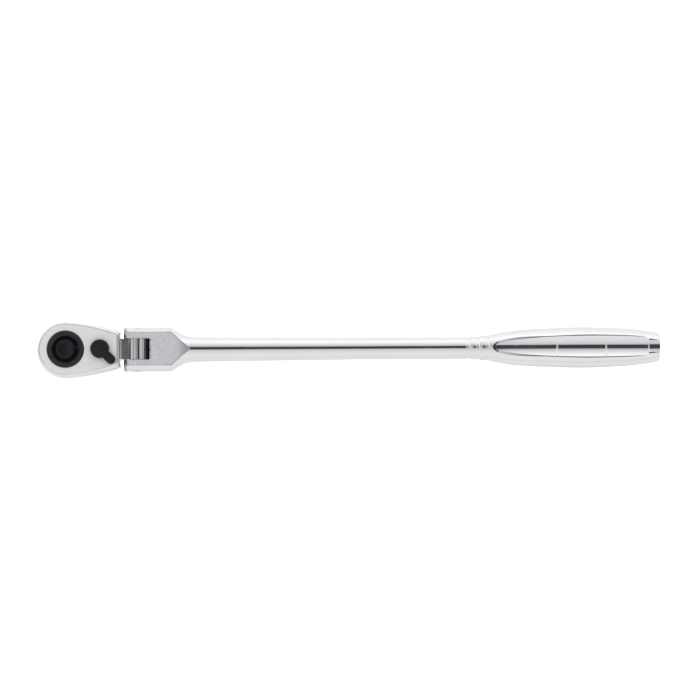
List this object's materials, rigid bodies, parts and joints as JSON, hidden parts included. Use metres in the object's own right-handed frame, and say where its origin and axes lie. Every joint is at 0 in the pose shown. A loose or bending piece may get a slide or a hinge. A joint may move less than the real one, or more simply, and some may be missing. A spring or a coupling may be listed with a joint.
{
  "type": "flex-head ratchet wrench",
  "caption": "Long-handled flex-head ratchet wrench with a square drive, push-button socket lock, reversing lever and scooped metal grip.",
  "frame": {"origin": "on the drive axis, in the plane of the shoulder round the square that a socket seats on", "axes": "+X along the handle from the head to the grip, +Y along the flex hinge pin, +Z along the drive axis away from the square, to the button and lever side"},
  "size_m": [0.3199, 0.0292, 0.0275],
  "materials": {
    "chrome_handle": "satin chrome plate on forged steel",
    "bright_pin": "ground steel, plated",
    "plain_steel": "ground hardened steel",
    "spring_steel": "oiled spring wire",
    "satin_head": "matt chrome plate, fine blasted grain",
    "satin_cover": "matt chrome plate",
    "black_screw": "black oxide",
    "black_gear": "black oxide, lightly oiled",
    "black_clip": "black phosphate",
    "black_button": "black oxide, soft sheen",
    "bright_ball": "polished bearing steel",
    "black_pawl": "black oxide",
    "black_lever": "black oxide, soft sheen"
  },
  "bodies": {
    "handle": {"handle": "chrome_handle", "hinge_pin": "bright_pin", "flex_spring": "spring_steel"},
    "flex_detent": {"flex_plunger": "plain_steel"},
    "head": {"head_body": "satin_head", "cover_plate": "satin_cover", "cover_screws": "black_screw", "pawl_pin": "plain_steel", "thrust_washer": "plain_steel"},
    "drive": {"drive_gear": "black_gear", "button_clip": "black_clip", "release_spring": "spring_steel"},
    "button": {"release_button": "black_button", "release_rod": "plain_steel"},
    "ball": {"lock_ball": "bright_ball"},
    "lever": {"reversing_lever": "black_lever", "lever_clip": "black_clip", "pawl_spring": "spring_steel"},
    "pawl": {"pawl": "black_pawl"},
    "plunger": {"pawl_plunger": "plain_steel"}
  },
  "joints": [
    {"name": "head_flex", "type": "hinge", "parent": "handle", "child": "head", "pos_m": [0.0365, 0, 0.0076], "axis": [0, 1, 0], "range_deg": [-90, 90]},
    {"name": "detent_slide", "type": "slide", "parent": "handle", "child": "flex_detent", "axis": [1, 0, 0], "range_m": [0, 0.0006], "stiffness_N_per_m": 800, "springref_m": -0.0015, "deforming": ["flex_spring"]},
    {"name": "drive_spin", "type": "hinge", "parent": "head", "child": "drive", "pos_m": [0, 0, 0], "axis": [0, 0, 1], "continuous": true},
    {"name": "button_press", "type": "slide", "parent": "drive", "child": "button", "axis": [0, 0, -1], "range_m": [0, 0.0022], "stiffness_N_per_m": 1500, "springref_m": -0.002, "deforming": ["release_spring"]},
    {"name": "ball_slide", "type": "slide", "parent": "drive", "child": "ball", "axis": [0, 1, 0], "range_m": [0, 0.0008]},
    {"name": "lever_turn", "type": "hinge", "parent": "head", "child": "lever", "pos_m": [0.0177, 0, 0], "axis": [0, 0, 1], "range_deg": [0, 88]},
    {"name": "pawl_rock", "type": "hinge", "parent": "head", "child": "pawl", "pos_m": [0.0122, 0, 0], "axis": [0, 0, 1], "range_deg": [-14, 0]},
    {"name": "plunger_slide", "type": "slide", "parent": "lever", "child": "plunger", "axis": [0.7193, -0.6947, 0], "range_m": [0, 0.0006], "stiffness_N_per_m": 800, "springref_m": -0.001, "deforming": ["pawl_spring"]}
  ],
  "couplings": [
    {"joint": "ball_slide", "follows": "button_press", "ratio": 0.36364},
    {"joint": "pawl_rock", "follows": "lever_turn", "ratio": -0.15909}
  ]
}
